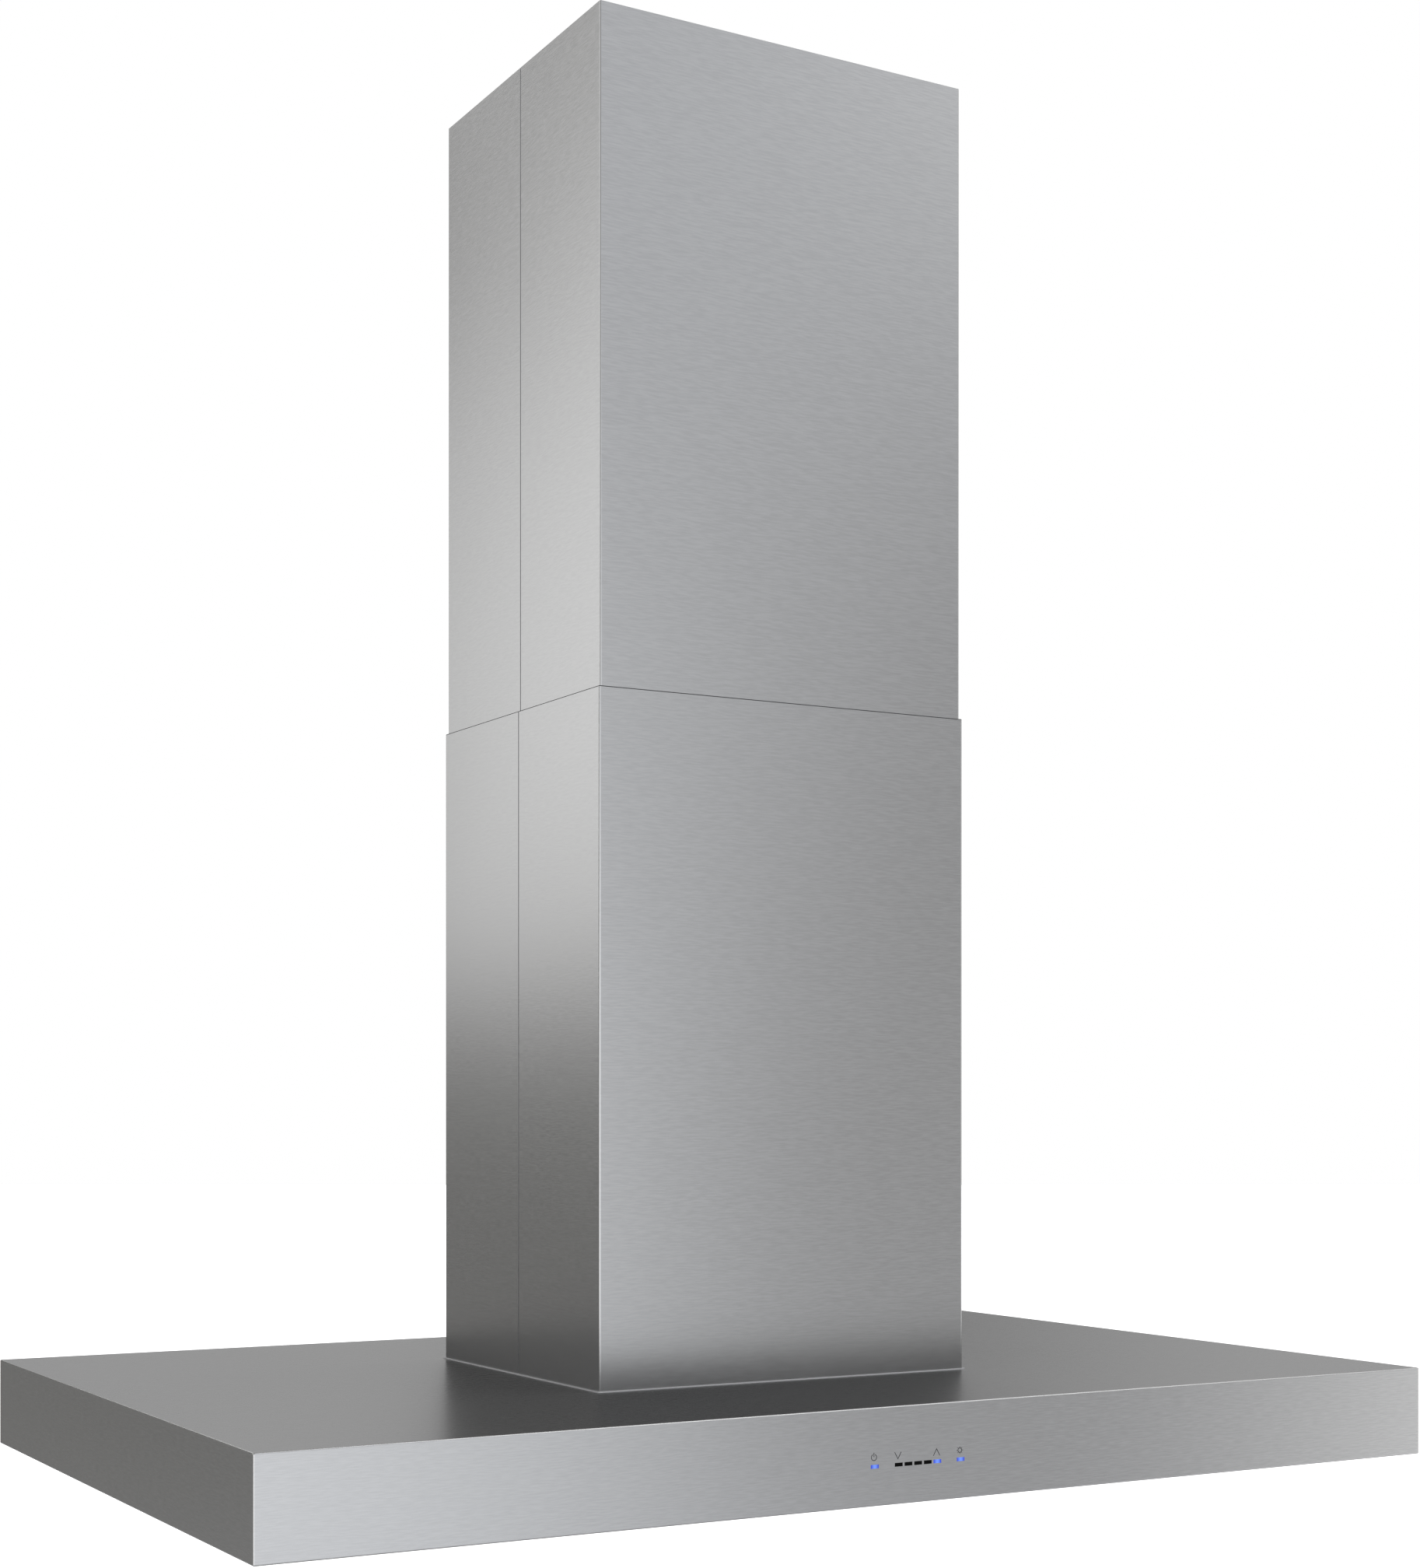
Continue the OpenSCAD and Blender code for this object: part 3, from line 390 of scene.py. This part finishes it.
def plain_metal(name, base, rough, tint=(1, 1, 1), spread=0.08, metallic=1.0):
    """Turned or plated metal with a fine tooth."""
    material, graph, shader = new_material(name)
    tooth = graph.speckle(0.6 * MM, 3.0)
    graph.link(graph.mix(tooth, grey(base * (1 - spread), tint), grey(base * (1 + spread), tint)),
               shader.inputs["Base Color"])
    graph.link(graph.around(tooth, rough, ROUGH_SPREAD), shader.inputs["Roughness"])
    graph.link(graph.bump(tooth, 0.08, 0.1 * MM), shader.inputs["Normal"])
    shader.inputs["Metallic"].default_value = metallic
    return material


def moulded(name, colour, rough, spread=0.12, gloss=0.5):
    """Moulded plastic, paint or rubber with a fine texture in colour, gloss and bump."""
    material, graph, shader = new_material(name)
    tooth = graph.speckle(0.8 * MM, 3.0)
    patch = graph.speckle(PATCH, 2.0)
    darker = (*(c * (1 - spread) for c in colour), 1)
    lighter = (*(min(1, c * (1 + spread)) for c in colour), 1)
    graph.link(graph.mix(graph.blend(tooth, patch, 0.5), darker, lighter),
               shader.inputs["Base Color"])
    graph.link(graph.around(patch, rough, ROUGH_SPREAD), shader.inputs["Roughness"])
    graph.link(graph.bump(tooth, 0.12, 0.2 * MM), shader.inputs["Normal"])
    shader.inputs["Specular IOR Level"].default_value = gloss
    return material


def lit_window(name, node, middle, ends):
    """Clear windows lit from behind, each paler in its middle than at its ends."""
    material, graph, shader = new_material(name)
    xs = sorted(v.co.x for v in nodes[node].data.vertices)
    lefts = [xs[0]] + [b for a, b in zip(xs, xs[1:]) if b - a > LEAST_WINDOW_STEP]
    width = max(x for x in xs if x < lefts[1]) - xs[0]
    x = graph.dot(graph.coordinates(), (1, 0, 0))
    off = None
    for left in lefts:
        away = graph.math("ABSOLUTE", graph.math("SUBTRACT", x, left + width / 2))
        off = away if off is None else graph.math("MINIMUM", off, away)
    glow = graph.ramp(off, 0.0, width * GLOW_REACH)
    graph.link(graph.mix(glow, (*middle, 1), (*ends, 1)), shader.inputs["Emission Color"])
    haze = graph.speckle(2 * MM, 2.0)
    graph.link(graph.mix(haze, grey(0.02), grey(0.03)), shader.inputs["Base Color"])
    shader.inputs["Emission Strength"].default_value = 1.0
    shader.inputs["Specular IOR Level"].default_value = 0.1
    shader.inputs["Roughness"].default_value = 0.3
    return material


def frosted_glass(name):
    """The lamps' frosted lens."""
    material, graph, shader = new_material(name)
    frost = graph.speckle(0.7 * MM, 3.0)
    graph.link(graph.mix(frost, grey(0.80, (1, 1, 0.97)), grey(0.92, (1, 1, 0.98))),
               shader.inputs["Base Color"])
    graph.link(graph.around(frost, 0.45, 0.2), shader.inputs["Roughness"])
    graph.link(graph.bump(frost, 0.1, 0.2 * MM), shader.inputs["Normal"])
    shader.inputs["Transmission Weight"].default_value = 0.35
    shader.inputs["Subsurface Weight"].default_value = 0.2
    return material


GRAIN_X = brushed_steel("steel_grain_x", 0)
GRAIN_Y = brushed_steel("steel_grain_y", 1)
DECK_STEEL = brushed_steel("steel_deck", 0, rough=0.28, anisotropic=0.3)
# Dark grey for the seams' cut edges and the laps behind them: partly the raw cut edge, mostly painted
# shade of the seam's gap
CUT_EDGE_PAINTED_SHADE = moulded("sheared_edge_painted_shade", (0.20, 0.20, 0.205), 0.6, gloss=0.2)
# Near black for the lower cover's top hem: painted shade along the step between the covers
HEM_PAINTED_SHADE = moulded("hem_painted_shade", (0.05, 0.05, 0.052), 0.6, gloss=0.1)
FOOT_SATIN = plain_metal("foot_satin", 0.66, 0.45, (1.0, 1.0, 1.01), metallic=0.2)
ZINC_SHEET = sheet_zinc("galvanised_sheet")
ZINC_PLATE = plain_metal("bright_zinc", 0.60, 0.28, (1.0, 0.99, 0.95))
MOTOR_PAINT = moulded("motor_enamel", (0.03, 0.033, 0.036), 0.38)
CAPACITOR = moulded("capacitor_case", (0.72, 0.72, 0.68), 0.35, spread=0.04)
DARK_PLASTIC = moulded("dark_plastic", (0.035, 0.035, 0.04), 0.5)
BOARD = moulded("solder_resist", (0.02, 0.12, 0.05), 0.35)
LIT = lit_window("indicator_lit", "lit_indicators", (0.17, 0.32, 1.0), (0.02, 0.045, 0.62))
UNLIT = moulded("indicator_unlit", (0.002, 0.002, 0.002), 0.6, gloss=0.05)
LAMP_TRIM = plain_metal("lamp_trim", 0.66, 0.30)
LAMP_GLASS = frosted_glass("lamp_lens")
SHEATH = moulded("cable_sheath", (0.05, 0.05, 0.055), 0.55)
WHITE_SHEATH = moulded("white_sheath", (0.62, 0.62, 0.60), 0.5, spread=0.05)
ETCH = moulded("etched_symbol", (0.03, 0.03, 0.033), 0.6, gloss=0.1)


# ---------------------------------------------------------------- CAD nodes

# A brushed node's slots are the grain along X, that along Y, the steel of level faces, the cut edge
# painted dark grey as the seam's shade, and the hem painted near black as the step's shade. A
# face's slot goes by the axis that it looks along.
SLOT_FACING = (1, 0, 2)
CUT_SHADE_SLOT = 3
HEM_SHADE_SLOT = 4

# Radii of rounded edges
FOLD_R = 1.1 * MM
HEM_R = 0.82 * MM
SEAM_R = 0.6 * MM
DEBURRED_R = 0.3 * MM
FILTER_EDGE_R = 0.2 * MM
SHARP = 35  # degrees

# How close places have to be to count as one, as on a plane, and as on the outside of a shell
ONE_PLACE = 0.02 * MM
ON_PLANE = 0.01 * MM
OUTER_SKIN = 0.6 * MM

# The width of the lap that a front cover has behind the rear one's edge, and how near a cover's
# outside, or its seam, the middle of a face has to be to count as part of it
LAP_W = 16 * MM
SEAM_SKIN = 0.5 * MM

ZINC_SHEET_NODES = ("ceiling_plate", "blower_chamber", "scroll_wrap", "scroll_side_left",
                    "scroll_side_right", "outlet_transition", "motor_bracket", "damper_collar",
                    "junction_box", "junction_box_lid", "blower_wheel", "damper_flap_front",
                    "damper_flap_rear")
ZINC_PLATE_NODES = ("ceiling_frame_bolts", "panel_screws", "deck_screws", "frame_clamp_bolts",
                    "upright_foot_bolts", "damper_pin", "motor_shaft", "cable_clamp",
                    "filter_spring_clips")


def paint(node, material):
    mesh = nodes[node].data
    mesh.materials.clear()
    mesh.materials.append(material)


def paint_brushed(node, level=GRAIN_X):
    """Brushed steel whose grain runs level: along Y on faces that look along X, else along X.

    The faces that look up or down may have a steel of their own.
    """
    mesh = nodes[node].data
    mesh.materials.clear()
    for material in (GRAIN_X, GRAIN_Y, level, CUT_EDGE_PAINTED_SHADE, HEM_PAINTED_SHADE):
        mesh.materials.append(material)
    for face in mesh.polygons:
        sizes = [abs(n) for n in face.normal]
        face.material_index = SLOT_FACING[sizes.index(max(sizes))]


def paint_seam_shade(cover, end):
    """Paints shade on the cut edges along a cover's two seams, and on the laps that show between them.
    """
    node = f"{cover}_cover_{end}"
    low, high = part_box(node)
    for face in nodes[node].data.polygons:
        place = face.center
        inside = min(place.x - low.x, high.x - place.x) > SEAM_SKIN
        lap = end == "front" and place.y > high.y - LAP_W and inside
        cut = end == "rear" and place.y < low.y + SEAM_SKIN
        if lap or cut:
            face.material_index = CUT_SHADE_SLOT


def merge_faces(node):
    """Joins the CAD's triangles into the flat faces that they lie in, so that edges can be rounded."""
    weld = nodes[node].modifiers.new("weld", "WELD")
    weld.merge_threshold = ONE_PLACE
    flat = nodes[node].modifiers.new("flat_faces", "DECIMATE")
    flat.decimate_type = "DISSOLVE"
    flat.angle_limit = radians(1.0)
    flat.delimit = {"MATERIAL"}


def round_edges(node, name, width, segments=2, chosen=None, material=-1):
    """Rounds the edges between a node's chosen vertices, or else all of its sharp edges.

    chosen takes a vertex's place and the node's lowest and highest corners.
    """
    piece = nodes[node]
    edge = piece.modifiers.new(name, "BEVEL")
    edge.width = width
    edge.segments = segments
    edge.material = material
    edge.harden_normals = True
    if chosen:
        low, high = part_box(node)
        group = piece.vertex_groups.new(name=name)
        group.add([v.index for v in piece.data.vertices if chosen(v.co, low, high)], 1.0, "REPLACE")
        edge.limit_method = "VGROUP"
        edge.vertex_group = name
        edge.use_clamp_overlap = False
    else:
        edge.limit_method = "ANGLE"
        edge.angle_limit = radians(SHARP)


def shade_evenly(node):
    shade = nodes[node].modifiers.new("shading", "WEIGHTED_NORMAL")
    shade.keep_sharp = True


def is_outer(place, low, high):
    """Whether a place is on the outside of a shell seen in plan, its rounded corners included."""
    return min(place.x - low.x, high.x - place.x, place.y - low.y, high.y - place.y) < OUTER_SKIN


def on_top_fold(place, low, high):
    return high.z - place.z < ON_PLANE and is_outer(place, low, high)


def on_bottom_fold(place, low, high):
    return place.z - low.z < ON_PLANE and is_outer(place, low, high)


def on_seam(place, low, high):
    """Whether a place is on the outer edge of a cover's rear half, along its seams."""
    return place.y - low.y < ON_PLANE and min(place.x - low.x, high.x - place.x) < ON_PLANE


def soften(node, width):
    """Rounds all of a node's sharp edges a little, as a deburring wheel leaves them."""
    merge_faces(node)
    round_edges(node, "edges", width)
    shade_evenly(node)


def finish_canopy():
    node = "canopy_shell"
    paint_brushed(node, DECK_STEEL)
    merge_faces(node)
    round_edges(node, "top_fold", FOLD_R, 4, on_top_fold)
    round_edges(node, "bottom_fold", FOLD_R, 4, on_bottom_fold)
    round_edges(node, "edges", DEBURRED_R)
    shade_evenly(node)


def finish_cover(cover, end):
    """A brushed cover half with its seams painted dark as their shade, and with the hem round the
    lower cover's top painted near black as the step's shade.

    The hem comes before the seam: the other order leaves a sliver of a face across the opening.
    """
    node = f"{cover}_cover_{end}"
    paint_brushed(node)
    paint_seam_shade(cover, end)
    merge_faces(node)
    if cover == "lower":
        # The hem's rounded edge is painted near black, as the step's shade
        round_edges(node, "hem", HEM_R, 3, on_top_fold, HEM_SHADE_SLOT)
    if end == "rear":
        # The seam's rounded edge takes the same painted shade
        round_edges(node, "seam", SEAM_R, 2, on_seam, CUT_SHADE_SLOT)
    shade_evenly(node)


def finish_underside():
    """The underside panel, the filters, the lamps and the clips."""
    paint_brushed("underside_panel")
    soften("underside_panel", DEBURRED_R)
    for side in SIDES:
        for part in ("frame", "handle"):
            node = f"filter_{part}_{side}"
            paint_brushed(node)
            soften(node, FILTER_EDGE_R)
        paint_brushed(f"filter_baffles_{side}")
    for corner in CORNERS:
        paint(f"lamp_body_{corner}", LAMP_TRIM)
        paint(f"lamp_lens_{corner}", LAMP_GLASS)
    paint("filter_pivot_clips", DARK_PLASTIC)


def finish_controls():
    paint("touch_board", BOARD)
    paint("lit_indicators", LIT)
    paint("unlit_indicators", UNLIT)


def finish_inside():
    """The telescopic frame, the blower, the damper, the boxes and the wiring."""
    for node in ZINC_SHEET_NODES:
        paint(node, ZINC_SHEET)
    for node in ZINC_PLATE_NODES:
        paint(node, ZINC_PLATE)
    for corner in CORNERS:
        paint(f"upper_upright_{corner}", ZINC_SHEET)
        paint(f"lower_upright_{corner}", ZINC_SHEET)
    paint("motor_body", MOTOR_PAINT)
    paint("capacitor", CAPACITOR)
    paint("power_board_box", DARK_PLASTIC)
    paint("motor_cable", SHEATH)
    paint("canopy_wiring", WHITE_SHEATH)


def finish_nodes():
    finish_canopy()
    for cover in ("lower", "upper"):
        for end in ENDS:
            finish_cover(cover, end)
    paint("cover_foot_frame", FOOT_SATIN)
    soften("cover_foot_frame", DEBURRED_R)
    finish_underside()
    finish_controls()
    finish_inside()


# ---------------------------------------------------------------- control symbols

SYMBOL_RAISE = 0.02 * MM
SYMBOL_Z = canopy_low.z + 37.5 * MM
LINE_W = 0.55 * MM
RAY_W = 0.8 * LINE_W
LEAST_MITRE = 0.35

POWER_X = -40 * MM
POWER_R = 2.4 * MM
POWER_ARC = (114, 426)  # degrees: it is open at the top
POWER_BAR = (0.2 * MM, 3.6 * MM)

# An arrow's place, and whether it points up or down
ARROWS = {"slower": (-18 * MM, -1), "faster": (18 * MM, 1)}
ARROW_HALF_W = 3.0 * MM
ARROW_HALF_H = 2.6 * MM

LAMP_X = 40 * MM
LAMP_R = 1.75 * MM
RAYS = 8
RAY_REACH = (2.2 * MM, 3.0 * MM)


def front_piece(name, bm):
    """A thin etched piece drawn in x and z, laid on the rim's front face."""
    mesh = bpy.data.meshes.new(name)
    bm.to_mesh(mesh)
    bm.free()
    piece = bpy.data.objects.new(name, mesh)
    bpy.context.scene.collection.objects.link(piece)
    mesh.materials.append(ETCH)
    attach(piece, "hood")


def stroke(bm, points, width=LINE_W, closed=False):
    """A mitred line of constant width through points in x and z, as a thin raised ribbon."""
    count = len(points)
    pairs = []
    for i, p in enumerate(points):
        before = points[i - 1] if i > 0 or closed else None
        after = points[(i + 1) % count] if i < count - 1 or closed else None
        d0 = (Vector(p) - Vector(before)).normalized() if before else None
        d1 = (Vector(after) - Vector(p)).normalized() if after else None
        d0 = d0 or d1
        d1 = d1 or d0
        n0, n1 = Vector((-d0.y, d0.x)), Vector((-d1.y, d1.x))
        miter = (n0 + n1).normalized()
        reach = width / 2 / max(LEAST_MITRE, miter.dot(n0))
        pairs.append((Vector(p) + miter * reach, Vector(p) - miter * reach))
    base = canopy_low.y + SYMBOL_RAISE
    top = canopy_low.y - SYMBOL_RAISE
    rows = [[bm.verts.new((a.x, y, a.y)) for a in pair for y in (base, top)] for pair in pairs]
    spans = count if closed else count - 1
    for i in range(spans):
        r0, r1 = rows[i], rows[(i + 1) % count]
        for a, b in ((0, 1), (1, 3), (3, 2), (2, 0)):
            bm.faces.new((r0[a], r0[b], r1[b], r1[a]))
    if not closed:
        for row in (rows[0], rows[-1]):
            bm.faces.new((row[0], row[1], row[3], row[2]))
    bmesh.ops.recalc_face_normals(bm, faces=bm.faces)


def arc(x, z, radius, start, end, steps):
    """Points on an arc from the angle start to end, in degrees."""
    angles = [radians(start + (end - start) * i / steps) for i in range(steps + 1)]
    return [(x + radius * cos(angle), z + radius * sin(angle)) for angle in angles]


def make_power_symbol():
    bm = bmesh.new()
    stroke(bm, arc(POWER_X, SYMBOL_Z, POWER_R, *POWER_ARC, steps=26))
    stroke(bm, [(POWER_X, SYMBOL_Z + reach) for reach in POWER_BAR])
    front_piece("symbol_power", bm)


def make_arrow_symbols():
    for name, (x, up) in ARROWS.items():
        bm = bmesh.new()
        tail_z = SYMBOL_Z - up * ARROW_HALF_H
        stroke(bm, [(x - ARROW_HALF_W, tail_z), (x, SYMBOL_Z + up * ARROW_HALF_H),
                    (x + ARROW_HALF_W, tail_z)])
        front_piece(f"symbol_{name}", bm)


def make_lamp_symbol():
    bm = bmesh.new()
    steps = 23
    full_turn_less_a_step = 360 - 360 / (steps + 1)
    stroke(bm, arc(LAMP_X, SYMBOL_Z, LAMP_R, 0, full_turn_less_a_step, steps), closed=True)
    for ray in range(RAYS):
        angle = ray * 2 * pi / RAYS
        stroke(bm, [(LAMP_X + cos(angle) * reach, SYMBOL_Z + sin(angle) * reach)
                    for reach in RAY_REACH], RAY_W)
    front_piece("symbol_lamp", bm)


make_camera()
make_world()
make_floor()
finish_nodes()
make_power_symbol()
make_arrow_symbols()
make_lamp_symbol()
bpy.context.scene.view_settings.view_transform = "Standard"
